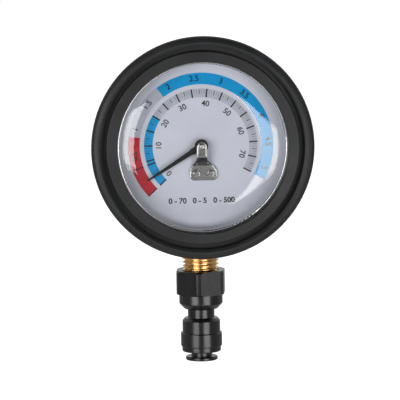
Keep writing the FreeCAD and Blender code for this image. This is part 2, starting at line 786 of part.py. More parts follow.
def pointer():
    """Flat tapering pointer with a ring that sits on the hub's step."""
    ring = dial_disc(pointer_ring_radius, pointer_back, pointer_front)
    blade = plate([
        (0, -pointer_arm_half_width), (pointer_arm_end, -pointer_arm_half_width),
        (pointer_arm_end, -pointer_blade_half_width), (pointer_length, -pointer_tip_half_width),
        (pointer_length, pointer_tip_half_width), (pointer_arm_end, pointer_blade_half_width),
        (pointer_arm_end, pointer_arm_half_width), (0, pointer_arm_half_width)],
        pointer_back, pointer_front)
    hub_hole = dial_disc(hub_step_radius + press_gap, pointer_back, pointer_front)
    solid = ring.fuse(blade).removeSplitter().cut(hub_hole)
    solid.rotate(V(0, 0, dial_height), V(0, 1, 0), pointer_rest_degrees)
    return solid


def pointer_hub():
    """Black hub, pressed on the arbor, with the pointer on its step."""
    bore = arbor_radius + press_gap
    head_front = pointer_front + hub_head_thickness
    return turned_on_dial([
        (bore, hub_back), (hub_step_radius, hub_back), (hub_step_radius, pointer_front + press_gap),
        (hub_radius, pointer_front + press_gap), (hub_radius, head_front, hub_edge_round),
        (bore, head_front)])


def arbor():
    """Straight shaft from the rear bush to the bridge, with a pivot at each end."""
    front_shoulder = bridge_top_back - arbor_end_play
    rear_end = arbor_shoulder - rear_pivot_length
    return turned_on_dial([
        (0, rear_end), (arbor_rear_pivot_radius, rear_end, arbor_rear_round),
        (arbor_rear_pivot_radius, arbor_shoulder), (arbor_radius, arbor_shoulder),
        (arbor_radius, front_shoulder), (arbor_front_pivot_radius, front_shoulder),
        (arbor_front_pivot_radius, bridge_top_front + arbor_proud, arbor_tip_round),
        (0, bridge_top_front + arbor_proud)])


def rear_bearing():
    """Brass bush in the rear bracket."""
    hole = arbor_rear_pivot_radius + running_gap
    return turned_on_dial([
        (hole, bracket_back), (bush_radius, bracket_back), (bush_radius, block_back + press_gap),
        (bush_flange_radius, block_back + press_gap), (bush_flange_radius, bush_front), (hole, bush_front)])


def rear_bracket():
    """Flat bracket on the back of the socket, with a round head for the bush."""
    foot = plate([
        (-bracket_half_width, -bracket_end_drop), (bracket_half_width, -bracket_end_drop),
        (bracket_half_width, -block_top_drop), (bracket_top_radius, 0), (-bracket_top_radius, 0),
        (-bracket_half_width, -block_top_drop)], bracket_back, block_back)
    head = dial_disc(bracket_top_radius, bracket_back, block_back)
    holes = [dial_disc(bush_radius + press_gap, bracket_back, block_back)]
    holes += pair_of_holes(bracket_screw_radius + screw_hole_gap, bracket_screw_spacing, bracket_back,
                           block_back, -bracket_screw_drop)
    return foot.fuse(head).removeSplitter().cut(holes)


def rear_bracket_screws():
    """Two small screws that hold the rear bracket."""
    screw = slotted_screw(bracket_screw_head_radius, bracket_screw_head_height, bracket_screw_radius,
                          bracket_screw_length, screw_slot_width, screw_slot_depth)
    return screw_pair(screw, -90, bracket_screw_spacing, bracket_back, -bracket_screw_drop)


def case_screws():
    """Two screws from the back of the case into the socket."""
    screw = slotted_screw(case_screw_head_radius, case_screw_head_height, case_screw_radius,
                          case_screw_length, case_screw_slot_width, case_screw_slot_depth)
    return screw_pair(screw, -90, case_screw_spacing, case_back, -case_screw_drop)


def tangent_arc(start, way, end):
    """Arc from start, leaving along way, to end."""
    chord = end - start
    along = V(chord).normalize()
    outward = way - along * way.dot(along)
    half_bend = math.acos(max(-1.0, min(1.0, way.dot(along)))) / 2
    middle = (start + end) * 0.5 + V(outward).normalize() * (chord.Length / 2 * math.tan(half_bend))
    return Part.Arc(start, middle, end).toShape()


def coil_point(turn):
    """Point on the coil's centre line after a number of turns."""
    angle = 2 * math.pi * turn
    front = coil_back + coil_pitch * turn
    return V(-coil_radius * math.cos(angle), -front, dial_height + coil_radius * math.sin(angle))


def coil_way(turn):
    """Direction of the coil's centre line after a number of turns."""
    if turn == 0:
        return V(0, 0, 1)
    angle = 2 * math.pi * turn
    climb = coil_pitch / (2 * math.pi)
    return V(coil_radius * math.sin(angle), -climb, coil_radius * math.cos(angle)).normalize()


def bourdon_tube():
    """Coiled pressure tube: a straight leg out of the socket, then steady turns."""
    leg_bottom = coil_point(0) - V(0, 0, block_top_drop + tube_seat_depth - press_gap)
    edges = [Part.LineSegment(leg_bottom, coil_point(0)).toShape()]
    for step in range(coil_turns * coil_steps):
        turn, next_turn = step / coil_steps, (step + 1) / coil_steps
        start, end = coil_point(turn), coil_point(next_turn)
        way_in, way_out = coil_way(turn), coil_way(next_turn)
        span = end - start
        both = way_in + way_out
        spread = 2 * (1 - way_in.dot(way_out))
        reach = (math.sqrt(span.dot(both) ** 2 + spread * span.dot(span)) - span.dot(both)) / spread
        middle = (start + end + (way_in - way_out) * reach) * 0.5
        middle_way = (end - start + (way_in + way_out) * -reach).normalize()
        edges.append(tangent_arc(start, way_in, middle))
        edges.append(tangent_arc(middle, middle_way, end))
    path = Part.Wire(edges)
    section = Part.Wire(Part.Circle(leg_bottom, V(0, 0, 1), coil_tube_radius).toShape())
    points = [coil_point(index / coil_samples) for index in range(coil_samples * coil_turns)]
    half_turn = coil_samples // 2
    least = min((points[first] - points[second]).Length
                for first in range(len(points)) for second in range(first + half_turn, len(points)))
    print("coil: least gap to itself %.2f mm" % (least - 2 * coil_tube_radius))
    return path.makePipeShell([section], True, False)


def tube_end_tab():
    """Tab that joins the coil's free end to the arbor."""
    tab_front = tab_back + tab_thickness
    arm = plate([
        (-coil_radius - coil_tube_radius, -tab_half_width), (0, -tab_half_width),
        (0, tab_half_width), (-coil_radius - coil_tube_radius, tab_half_width)], tab_back, tab_front)
    ring = dial_disc(tab_ring_radius, tab_back, tab_front)
    bore = dial_disc(arbor_radius + press_gap, tab_back, tab_front)
    return arm.fuse(ring).removeSplitter().cut(bore)


sub_parts = {
    "rubber_boot": rubber_boot,
    "case": case,
    "bezel": bezel,
    "window": window,
    "window_gasket": window_gasket,
    "blowout_plug": blowout_plug,
    "case_screws": case_screws,
    "dial": dial,
    "bridge": bridge,
    "bridge_screws": bridge_screws,
    "pointer": pointer,
    "pointer_hub": pointer_hub,
    "arbor": arbor,
    "rear_bearing": rear_bearing,
    "rear_bracket": rear_bracket,
    "rear_bracket_screws": rear_bracket_screws,
    "bourdon_tube": bourdon_tube,
    "tube_end_tab": tube_end_tab,
    "socket": socket,
    "restrictor": restrictor,
    "coupling_body": coupling_body,
    "coupling_cap": coupling_cap,
    "tube_oring": tube_oring,
    "oring_spacer": oring_spacer,
    "collet": collet,
    "grab_ring": grab_ring,
}

os.makedirs("parts", exist_ok=True)
for name, make in sub_parts.items():
    solid = make()
    solid.exportStep("parts/" + name + ".step")
    print("%-20s solids %d valid %s volume %.1f" % (name, len(solid.Solids), solid.isValid(), solid.Volume))
print("dial centre at height %.2f" % dial_height)
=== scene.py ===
"""A dial pressure gauge in a rubber boot on a push-in coupling, finished for studio light."""

import json
import logging
import math
from dataclasses import dataclass
from enum import Enum
from typing import Any, Iterable, Sequence

import bmesh
import bpy
from mathutils import Matrix, Vector

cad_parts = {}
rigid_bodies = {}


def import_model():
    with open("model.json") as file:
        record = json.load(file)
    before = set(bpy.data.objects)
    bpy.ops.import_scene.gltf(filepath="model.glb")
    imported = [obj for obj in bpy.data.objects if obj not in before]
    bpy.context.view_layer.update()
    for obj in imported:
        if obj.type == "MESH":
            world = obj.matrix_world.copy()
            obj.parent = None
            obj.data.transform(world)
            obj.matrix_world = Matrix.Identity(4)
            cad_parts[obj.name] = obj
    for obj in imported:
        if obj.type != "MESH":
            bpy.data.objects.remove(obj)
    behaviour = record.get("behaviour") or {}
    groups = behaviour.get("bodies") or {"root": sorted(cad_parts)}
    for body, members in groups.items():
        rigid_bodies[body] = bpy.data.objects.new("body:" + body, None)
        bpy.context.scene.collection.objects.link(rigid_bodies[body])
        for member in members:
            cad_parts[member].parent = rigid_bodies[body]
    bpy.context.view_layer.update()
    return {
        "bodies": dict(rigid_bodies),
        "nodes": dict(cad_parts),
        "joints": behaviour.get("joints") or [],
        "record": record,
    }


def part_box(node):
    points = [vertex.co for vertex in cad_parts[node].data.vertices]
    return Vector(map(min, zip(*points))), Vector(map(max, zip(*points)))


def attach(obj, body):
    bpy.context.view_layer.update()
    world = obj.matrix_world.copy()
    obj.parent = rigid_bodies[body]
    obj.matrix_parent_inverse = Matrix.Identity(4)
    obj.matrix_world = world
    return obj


LOG = logging.getLogger("gauge")
MM = 0.001
Triple = tuple[float, float, float]
Colour = Triple
Span = tuple[float, float]
Shape = tuple[list[Vector], list[list[int]]]
Node = bpy.types.Node
Socket = bpy.types.NodeSocket
Material = bpy.types.Material

# Sockets of a Mix node that mixes colours.
MIX_FIRST, MIX_SECOND, MIX_RESULT = 6, 7, 2


class Ink(Enum):
    """Printing inks of the dial."""

    RED = (0.585, 0.015, 0.032)
    BLUE = (0.0, 0.31, 0.65)
    GREY = (0.48, 0.495, 0.555)
    BLACK = (0.004, 0.004, 0.005)


class Nodes:
    """Writes the nodes of one tree."""

    def __init__(self, tree: bpy.types.NodeTree) -> None:
        """Empty the tree.

        Args:
            tree: The tree to write in.
        """
        self.tree = tree
        self.tree.nodes.clear()

    def add(self, kind: str, inputs: dict[Any, Any] | None = None, **settings: Any) -> Node:
        """Add a node.

        Args:
            kind: The node's type, without its "ShaderNode" prefix.
            inputs: Values or sockets for the node's inputs, by name or number.
            **settings: Properties of the node.

        Returns:
            The new node.
        """
        node = self.tree.nodes.new("ShaderNode" + kind)
        for key, value in settings.items():
            setattr(node, key, value)
        for key, value in (inputs or {}).items():
            if isinstance(value, Socket):
                self.tree.links.new(value, node.inputs[key])
            else:
                node.inputs[key].default_value = value
        return node

    def larger(self, first: Socket, second: Socket) -> Socket:
        """The larger of two values."""
        return self.add("Math", {0: first, 1: second}, operation="MAXIMUM").outputs[0]


class Graph(Nodes):
    """Writes the nodes of one material."""

    def __init__(self, name: str) -> None:
        """Start an empty material.

        Args:
            name: The material's name.
        """
        self.material = bpy.data.materials.new(name)
        self.material.use_nodes = True
        super().__init__(self.material.node_tree)

    def place(self) -> Socket:
        """The point's place in the gauge's own frame, in metres."""
        return self.add("TexCoord").outputs["Object"]

    def noise(self, size: float, detail: float, squash: Triple = (1.0, 1.0, 1.0)) -> Socket:
        """Noise from 0 to 1.

        Args:
            size: The size of one blotch, in metres.
            detail: How many finer layers it holds.
            squash: Factors on the three axes.

        Returns:
            The noise's value.
        """
        stretched = self.add("Mapping", {"Vector": self.place(), "Scale": squash})
        inputs = {"Vector": stretched.outputs[0], "Scale": 1 / size, "Detail": detail}
        return self.add("TexNoise", inputs).outputs["Fac"]

    def spread(self, value: Socket, low: float, high: float, start: float = 0.3,
               end: float = 0.7) -> Socket:
        """Map a value's middle range to another range.

        Args:
            value: The value to map.
            low: The result at start.
            high: The result at end.
            start: Where the mapped range begins.
            end: Where the mapped range ends.

        Returns:
            The mapped value.
        """
        inputs = {"Value": value, "From Min": start, "From Max": end, "To Min": low, "To Max": high}
        return self.add("MapRange", inputs).outputs["Result"]

    def blend(self, share: Socket, first: Any, second: Any) -> Socket:
        """Mix two colours.

        Args:
            share: The share of the second colour.
            first: The first colour, a tuple or a socket.
            second: The second colour, a tuple or a socket.

        Returns:
            The mixed colour.
        """
        def rgba(colour: Any) -> Any:
            """A colour with its fourth value, or a socket as it is."""
            return colour if isinstance(colour, Socket) else (*colour, 1.0)
        inputs = {"Factor": share, MIX_FIRST: rgba(first), MIX_SECOND: rgba(second)}
        return self.add("Mix", inputs, data_type="RGBA").outputs[MIX_RESULT]

    def bump(self, height: Socket, depth: float, under: Socket | None = None) -> Socket:
        """A normal that follows a height.

        Args:
            height: The height, from 0 to 1.
            depth: What a height of 1 stands for, in metres.
            under: A normal to start from.

        Returns:
            The normal.
        """
        inputs = {"Height": height, "Distance": depth, "Strength": 1.0}
        if under is not None:
            inputs["Normal"] = under
        return self.add("Bump", inputs).outputs["Normal"]

    def close(self, surface: Node) -> Material:
        """Put a shader at the material's end.

        Args:
            surface: The shader's node.

        Returns:
            The material.
        """
        self.add("OutputMaterial", {"Surface": surface.outputs[0]})
        return self.material


@dataclass(frozen=True)
class RubberFinish:
    """Moulded rubber: satin, a little cloudy, with a few specks of dust."""

    name: str
    colour: Colour = (0.010, 0.0105, 0.0115)
    bloom: Colour = (0.018, 0.019, 0.0205)
    dust: Colour = (0.30, 0.30, 0.30)
    gloss: Span = (0.40, 0.54)
    ior: float = 1.43
    cloud_size: float = 11 * MM
    grain_size: float = 0.35 * MM
    grain_depth: float = 0.006 * MM
    speck_cell: float = 2.6 * MM
    speck_strength: float = 0.5
    speck_edge: Span = (0.02, 0.05)
    speck_rarity: Span = (0.80, 0.82)
    crown: float = 0.0
    axis_height: float = 0.0

    def domed(self, graph: Graph) -> Socket | None:
        """Normal that leans away from the dial's axis, as on a slightly domed lip.

        Args:
            graph: The material's nodes.

        Returns:
            The normal, or None where the rubber isn't domed.
        """
        if not self.crown:
            return None
        axis = (0.0, 0.0, self.axis_height)
        centred = graph.add("VectorMath", {0: graph.place(), 1: axis}, operation="SUBTRACT")
        flat = graph.add("VectorMath", {0: centred.outputs[0], 1: (1.0, 0.0, 1.0)},
                         operation="MULTIPLY")
        outward = graph.add("VectorMath", {0: flat.outputs[0]}, operation="NORMALIZE")
        lean = graph.add("VectorMath", {0: outward.outputs[0], "Scale": self.crown},
                         operation="SCALE")
        normal = graph.add("NewGeometry").outputs["Normal"]
        total = graph.add("VectorMath", {0: normal, 1: lean.outputs[0]}, operation="ADD")
        return graph.add("VectorMath", {0: total.outputs[0]}, operation="NORMALIZE").outputs[0]

    def material(self) -> Material:
        """Build the material.

        Returns:
            The material.
        """
        graph = Graph(self.name)
        clouds = graph.noise(self.cloud_size, detail=5.0)
        cloudy = graph.blend(graph.spread(clouds, 0, 1), self.colour, self.bloom)
        cells = graph.add("TexVoronoi", {"Vector": graph.place(), "Scale": 1 / self.speck_cell})
        speck = graph.spread(cells.outputs["Distance"], self.speck_strength, 0.0, *self.speck_edge)
        rare = graph.spread(cells.outputs["Color"], 0.0, 1.0, *self.speck_rarity)
        dusty = graph.add("Math", {0: speck, 1: rare}, operation="MULTIPLY").outputs[0]
        grain = graph.noise(self.grain_size, detail=2.0)
        return graph.close(graph.add("BsdfPrincipled", {
            "Base Color": graph.blend(dusty, cloudy, self.dust),
            "Roughness": graph.spread(clouds, *self.gloss),
            "Normal": graph.bump(grain, self.grain_depth, self.domed(graph)),
            "IOR": self.ior}))


@dataclass(frozen=True)
class PlasticFinish:
    """Moulded black plastic with a soft gloss and faint flow marks."""

    name: str
    colour: Colour = (0.0045, 0.0046, 0.0048)
    flow_lift: float = 1.7
    gloss: Span = (0.19, 0.26)
    ior: float = 1.55
    flow_size: float = 4 * MM
    flow_squash: Triple = (1.0, 1.0, 0.35)
    grain_size: float = 0.5 * MM
    grain_depth: float = 0.004 * MM

    def material(self) -> Material:
        """Build the material.

        Returns:
            The material.
        """
        graph = Graph(self.name)
        flow = graph.noise(self.flow_size, detail=4.0, squash=self.flow_squash)
        pale = tuple(self.flow_lift * part for part in self.colour)
        grain = graph.noise(self.grain_size, detail=3.0)
        return graph.close(graph.add("BsdfPrincipled", {
            "Base Color": graph.blend(graph.spread(flow, 0, 1), self.colour, pale),
            "Roughness": graph.spread(flow, *self.gloss),
            "Normal": graph.bump(grain, self.grain_depth),
            "IOR": self.ior}))


@dataclass(frozen=True)
class MetalFinish:
    """Bare or plated metal with fine tool marks and slight tarnish."""

    name: str
    colour: Colour
    tarnish: Colour
    gloss: float
    gloss_range: float = 0.1
    stain_size: float = 2.4 * MM
    mark_size: float = 0.25 * MM
    mark_depth: float = 0.002 * MM
    rim: float = 0.0
    rim_samples: int = 8

    def material(self) -> Material:
        """Build the material.

        Returns:
            The material.
        """
        graph = Graph(self.name)
        stain = graph.noise(self.stain_size, detail=5.0)
        marks = graph.noise(self.mark_size, detail=2.0)
        rounded = None
        if self.rim:
            rounded = graph.add("Bevel", {"Radius": self.rim}, samples=self.rim_samples).outputs[0]
        return graph.close(graph.add("BsdfPrincipled", {
            "Base Color": graph.blend(graph.spread(stain, 0, 1), self.colour, self.tarnish),
            "Metallic": 1.0,
            "Roughness": graph.spread(stain, self.gloss, self.gloss + self.gloss_range),
            "Normal": graph.bump(marks, self.mark_depth, rounded)}))


@dataclass(frozen=True)
class PaintFinish:
    """Thin paint or print, slightly mottled."""

    name: str
    colour: Colour
    gloss: float
    gloss_range: float = 0.08
    mottle: float = 0.06
    mottle_size: float = 6 * MM
    ior: float = 1.45
    peel_size: float = 0.3 * MM
    peel_depth: float = 0.0015 * MM

    def material(self) -> Material:
        """Build the material.

        Returns:
            The material.
        """
        graph = Graph(self.name)
        cloud = graph.noise(self.mottle_size, detail=4.0)
        pale = tuple(min(1.0, part * (1 + self.mottle)) for part in self.colour)
        deep = tuple(part * (1 - self.mottle) for part in self.colour)
        peel = graph.noise(self.peel_size, detail=2.0)
        return graph.close(graph.add("BsdfPrincipled", {
            "Base Color": graph.blend(graph.spread(cloud, 0, 1), deep, pale),
            "Roughness": graph.spread(cloud, self.gloss, self.gloss + self.gloss_range),
            "Normal": graph.bump(peel, self.peel_depth),
            "IOR": self.ior}))


@dataclass(frozen=True)
class ClearFinish:
    """Clear pane with faint smears, which shadow, diffuse and mirrored rays pass straight."""

    name: str
    tint: Colour = (0.985, 0.99, 1.0)
    passing_tint: Colour = (0.97, 0.98, 0.99)
    ior: float = 1.49
    smear: float = 0.03
    smear_size: float = 9 * MM
    smear_squash: Triple = (1.0, 1.0, 0.6)

    def material(self) -> Material:
        """Build the material.

        Returns:
            The material.
        """
        graph = Graph(self.name)
        smears = graph.noise(self.smear_size, detail=5.0, squash=self.smear_squash)
        clear = graph.add("BsdfPrincipled", {
            "Base Color": (*self.tint, 1.0), "Transmission Weight": 1.0, "IOR": self.ior,
            "Roughness": graph.spread(smears, 0.0, self.smear)})
        passing = graph.add("BsdfTransparent", {"Color": (*self.passing_tint, 1.0)})
        path = graph.add("LightPath")
        soft = graph.larger(path.outputs["Is Shadow Ray"], path.outputs["Is Diffuse Ray"])
        # A refracted ray counts as both glossy and transmitted, so what is left is mirrored.
        mirrored = graph.add("Math", {
            0: path.outputs["Is Glossy Ray"], 1: path.outputs["Is Transmission Ray"]},
            operation="SUBTRACT", use_clamp=True)
        share = graph.larger(soft, mirrored.outputs[0])
        return graph.close(graph.add("MixShader", {
            0: share, 1: clear.outputs[0], 2: passing.outputs[0]}))


class Bench:
    """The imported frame, with the ways to finish its nodes and to add pieces."""

    def __init__(self, frame: dict[str, Any]) -> None:
        """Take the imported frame.
        """
        self.frame = frame
        low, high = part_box("dial")
        self.dial_height = (low.z + high.z) / 2
        self.dial_front = -low.y

    def on_dial(self, radius: float, angle: float, front: float) -> Vector:
        """Point over the dial.

        Args:
            radius: Distance from the dial's axis.
            angle: Clock angle in degrees, from +X and clockwise to the viewer.
            front: Depth towards the viewer.

        Returns:
            The point in the gauge's frame.
        """
        turn = math.radians(angle)
        across, rise = radius * math.cos(turn), -radius * math.sin(turn)
        return Vector((across, -front, self.dial_height + rise))

    def piece(self, name: str, mesh: bpy.types.Mesh, body: str, slot: str,
              material: Material) -> None:
        """Make an object of a mesh, finished and riding on its body.

        Args:
            name: The piece's name.
            mesh: Its mesh, in the gauge's frame.
            body: The body that it rides on.
            slot: The record's material slot; not used.
            material: Its finish.
        """
        made = place_object(name, mesh)
        mesh.materials.append(material)
        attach(made, body)
        LOG.info("piece %s: %d faces", name, len(mesh.polygons))

    def dress(self, node: str, material: Material) -> None:
        """Give a node of the frame its finish.

        Args:
            node: The node's name.
            material: The finish.
        """
        for place in self.frame["nodes"][node].material_slots:
            place.material = material
        LOG.info("node %s: %s", node, material.name)


def place_object(name: str, data: bpy.types.ID) -> bpy.types.Object:
    """Put an object into the scene.

    Args:
        name: Its name.
        data: Its mesh, lamp or camera.

    Returns:
        The object.
    """
    made = bpy.data.objects.new(name, data)
    bpy.context.scene.collection.objects.link(made)
    return made


def mesh_of(name: str, points: Iterable[Sequence[float]],
            faces: Iterable[Sequence[int]]) -> bpy.types.Mesh:
    """Mesh with flat faces that all look outwards.

    Args:
        name: The mesh's name.
        points: Its points.
        faces: The faces, as numbers of points.

    Returns:
        The mesh.
    """
    mesh = bpy.data.meshes.new(name)
    mesh.from_pydata([tuple(point) for point in points], [], list(faces))
    work = bmesh.new()
    work.from_mesh(mesh)
    bmesh.ops.recalc_face_normals(work, faces=work.faces)
    work.to_mesh(mesh)
    work.free()
    return mesh


def slab(outline: Sequence[Vector], back: Vector) -> Shape:
    """Flat piece with a given outline and thickness.

    Args:
        outline: The front outline's points, in order.
        back: The way from the front face to the back face.

    Returns:
        Its points and its faces.
    """
    count = len(outline)
    points = list(outline) + [point + back for point in outline]
    faces = [list(range(count)), list(range(2 * count - 1, count - 1, -1))]
    faces += [[index, index + count, (index + 1) % count + count, (index + 1) % count]
              for index in range(count)]
    return points, faces


@dataclass(frozen=True)
class Word:
    """A text on the dial, which stands outwards from the axis or, if upright, straight."""

    text: str
    radius: float
    angle: float
    size: float
    bold: float = 0.02 * MM
    upright: bool = False


@dataclass
class DialFace:
    """The printed dial: coloured bands, ticks and plain numbers.

    Angles are clock angles in degrees, from +X and clockwise to the viewer. Layers count the
    thicknesses of ink between the dial and a print's face.
    """

    bench: Bench
    ink_height: float = 0.03 * MM
    band_layers: int = 1
    tick_layers: int = 2
    number_layers: int = 3
    outer_band: Span = (22.25 * MM, 26.38 * MM)
    inner_band: Span = (17.6 * MM, 20.72 * MM)
    band_step: float = 1.5
    start: float = 136.75
    first_major: float = 164.75
    major_step: float = 16.02
    majors: int = 15
    red_end: float = 188.3
    grey_end: float = 233.3
    blue_overrun: float = 0.5
    normal_end: float = 212.75
    extra_tick: float = 160.75
    tick_width: float = 0.5 * MM
    outer_tick_width: float = 0.4 * MM
    minor_band: Span = (18.8 * MM, 20.35 * MM)
    minor_width: float = 0.24 * MM
    fine_width: float = 0.08 * MM
    fine_parts: tuple[float, ...] = (0.167, 0.333, 0.667, 0.833)
    number_radius: float = 15.3 * MM
    band_number_radius: float = 24.35 * MM
    number_size: float = 2.9 * MM
    zero_shift: float = 3.0
    units_per_major: float = 5.0
    second_scale_units: float = 14.5
    second_scale_halves: int = 10
    ranges: Word = Word("0 - 70   0 - 5   0 - 500", 20.2 * MM, 90.0, 2.75 * MM, 0.055 * MM, True)
    paper: Colour = (0.655, 0.665, 0.738)

    @property
    def end(self) -> float:
        """The clock angle where both scales end."""
        return self.first_major + self.major_step * (self.majors - 1)

    def major(self, number: float) -> float:
        """Clock angle of a major tick, counted from 0, or of a place between two."""
        return self.first_major + self.major_step * number

    def sector(self, radii: Span, first: float, last: float) -> Shape:
        """Part of a coloured band.

        Args:
            radii: Its inner and outer radius.
            first: Its first clock angle.
            last: Its last clock angle.

        Returns:
            Its points and faces.
        """
        steps = max(2, int((last - first) / self.band_step) + 1)
        angles = [first + (last - first) * index / steps for index in range(steps + 1)]
        front = self.bench.dial_front + self.ink_height * self.band_layers
        back = self.bench.dial_front - self.ink_height
        points = [self.bench.on_dial(radius, angle, depth)
                  for angle in angles for depth in (front, back) for radius in radii]
        faces = [[0, 1, 3, 2], [4 * steps + corner for corner in (0, 2, 3, 1)]]
        for here in range(0, 4 * steps, 4):
            there = here + 4
            for one, other in ((0, 1), (1, 3), (3, 2), (2, 0)):
                faces.append([here + one, here + other, there + other, there + one])
        return points, faces

    def tick(self, radii: Span, angle: float, width: float) -> Shape:
        """Straight radial tick.

        Args:
            radii: The radii of its two ends.
            angle: Its clock angle.
            width: Its width.

        Returns:
            Its points and faces.
        """
        front = self.bench.dial_front + self.ink_height * self.tick_layers
        inner, outer = (self.bench.on_dial(radius, angle, front) for radius in radii)
        side = (outer - inner).cross(Vector((0, 1, 0))).normalized() * (width / 2)
        outline = [inner - side, outer - side, outer + side, inner + side]
        return slab(outline, Vector((0, self.ink_height * (self.tick_layers + 1), 0)))

    def print_shapes(self, name: str, shapes: Sequence[Shape], ink: Material) -> None:
        """Join shapes of one ink into a piece.

        Args:
            name: The piece's name.
            shapes: Points and faces of each shape.
            ink: The ink.
        """
        points: list[Vector] = []
        faces: list[list[int]] = []
        for shape_points, shape_faces in shapes:
            faces += [[index + len(points) for index in face] for face in shape_faces]
            points += shape_points
        self.bench.piece(name, mesh_of(name, points, faces), "gauge", "dial_print", ink)

    def set_word(self, word: Word) -> bpy.types.Mesh:
        """Mesh of one text in its place on the dial.

        Args:
            word: The text.

        Returns:
            Its mesh.
        """
        curve = bpy.data.curves.new(word.text, "FONT")
        curve.body = word.text
        curve.size = word.size
        curve.align_x = "CENTER"
        curve.align_y = "CENTER"
        curve.offset = word.bold
        curve.extrude = self.ink_height
        holder = bpy.data.objects.new(word.text, curve)
        mesh = bpy.data.meshes.new_from_object(holder)
        bpy.data.objects.remove(holder)
        bpy.data.curves.remove(curve)
        turn = math.radians(word.angle)
        outward = Vector((math.cos(turn), 0, -math.sin(turn)))
        along = Vector((-math.sin(turn), 0, -math.cos(turn)))
        if word.upright:
            outward, along = -outward, -along
        place = Matrix((along, outward, Vector((0, -1, 0)))).transposed().to_4x4()
        front = self.bench.dial_front + self.ink_height * self.number_layers
        place.translation = self.bench.on_dial(word.radius, word.angle, front)
        mesh.transform(place)
        return mesh

    def print_words(self, name: str, words: Sequence[Word], ink: Material) -> None:
        """Join texts of one ink into a piece.

        Args:
            name: The piece's name.
            words: The texts.
            ink: The ink.
        """
        work = bmesh.new()
        for word in words:
            letters = self.set_word(word)
            work.from_mesh(letters)
            bpy.data.meshes.remove(letters)
        mesh = bpy.data.meshes.new(name)
        work.to_mesh(mesh)
        work.free()
        self.bench.piece(name, mesh, "gauge", "dial_print", ink)

    def print_bands(self, inks: dict[Ink, Material]) -> None:
        """Print the coloured bands.

        Args:
            inks: The finish of each ink.
        """
        outer, inner = self.outer_band, self.inner_band
        self.print_shapes("band_red", [self.sector(outer, self.start, self.red_end)],
                          inks[Ink.RED])
        self.print_shapes("bands_grey", [self.sector(outer, self.red_end, self.grey_end),
                                         self.sector(inner, self.normal_end, self.end)],
                          inks[Ink.GREY])
        self.print_shapes("bands_blue", [
            self.sector(outer, self.grey_end, self.end + self.blue_overrun),
            self.sector(inner, self.start, self.normal_end)], inks[Ink.BLUE])

    def print_ticks(self, black: Material) -> None:
        """Print the ticks.

        Args:
            black: The ink.
        """
        gaps = range(self.majors - 1)
        ends = (self.start, self.extra_tick)
        ticks = [self.tick(self.inner_band, self.major(number), self.tick_width)
                 for number in range(self.majors)]
        ticks += [self.tick(self.inner_band, angle, self.tick_width) for angle in ends]
        ticks += [self.tick(self.outer_band, angle, self.outer_tick_width) for angle in ends]
        ticks += [self.tick(self.minor_band, self.major(number + 0.5), self.minor_width)
                  for number in gaps]
        self.print_shapes("ticks_black", ticks, black)
        fine = [self.tick(self.minor_band, self.major(number + part), self.fine_width)
                for number in gaps for part in self.fine_parts]
        self.print_shapes("ticks_fine", fine, black)

    def print_numbers(self, black: Material) -> None:
        """Print the numbers of both scales and the row of ranges.

        Args:
            black: The ink.
        """
        words = [Word("0", self.number_radius, self.start + self.zero_shift, self.number_size)]
        for number in range(1, self.majors, 2):
            value = str(int((number + 1) * self.units_per_major))
            words.append(Word(value, self.number_radius, self.major(number), self.number_size))
        for half in range(1, self.second_scale_halves + 1):
            units = half * self.second_scale_units / 2
            angle = self.major(units / self.units_per_major - 1)
            words.append(Word("%g" % (half / 2), self.band_number_radius, angle, self.number_size))
        words.append(self.ranges)
        self.print_words("dial_numbers", words, black)

    def build(self) -> None:
        """Print the dial."""
        inks = {ink: PaintFinish("ink_" + ink.name.lower(), ink.value, 0.5, mottle=0.05,
                                 mottle_size=3 * MM, ior=1.2).material() for ink in Ink}
        self.print_bands(inks)
        self.print_ticks(inks[Ink.BLACK])
        self.print_numbers(inks[Ink.BLACK])
        paper = PaintFinish("dial_paper", self.paper, 0.5, mottle=0.03, mottle_size=9 * MM,
                            ior=1.25)
        self.bench.dress("dial", paper.material())


@dataclass
class Housing:
    """Boot, case, bezel, pane and what holds them."""

    bench: Bench
    lip_crown: float = 0.11

    def build(self) -> None:
        """Finish the housing's nodes."""
        rubber = RubberFinish("boot_rubber", crown=self.lip_crown,
                              axis_height=self.bench.dial_height).material()
        seal = RubberFinish("seal_rubber", (0.02, 0.02, 0.02), (0.03, 0.03, 0.03)).material()
        bright = MetalFinish("bezel_steel", (0.62, 0.62, 0.63), (0.5, 0.5, 0.5), 0.08).material()
        painted = PaintFinish("case_paint", (0.02, 0.02, 0.022), 0.38).material()
        plated = MetalFinish("plated_screw", (0.66, 0.65, 0.62), (0.48, 0.47, 0.44),
                             0.24).material()
        self.bench.dress("rubber_boot", rubber)
        for node in ("window_gasket", "blowout_plug"):
            self.bench.dress(node, seal)
        self.bench.dress("bezel", bright)
        self.bench.dress("case", painted)
        self.bench.dress("case_screws", plated)
        self.bench.dress("window", ClearFinish("clear_pane").material())


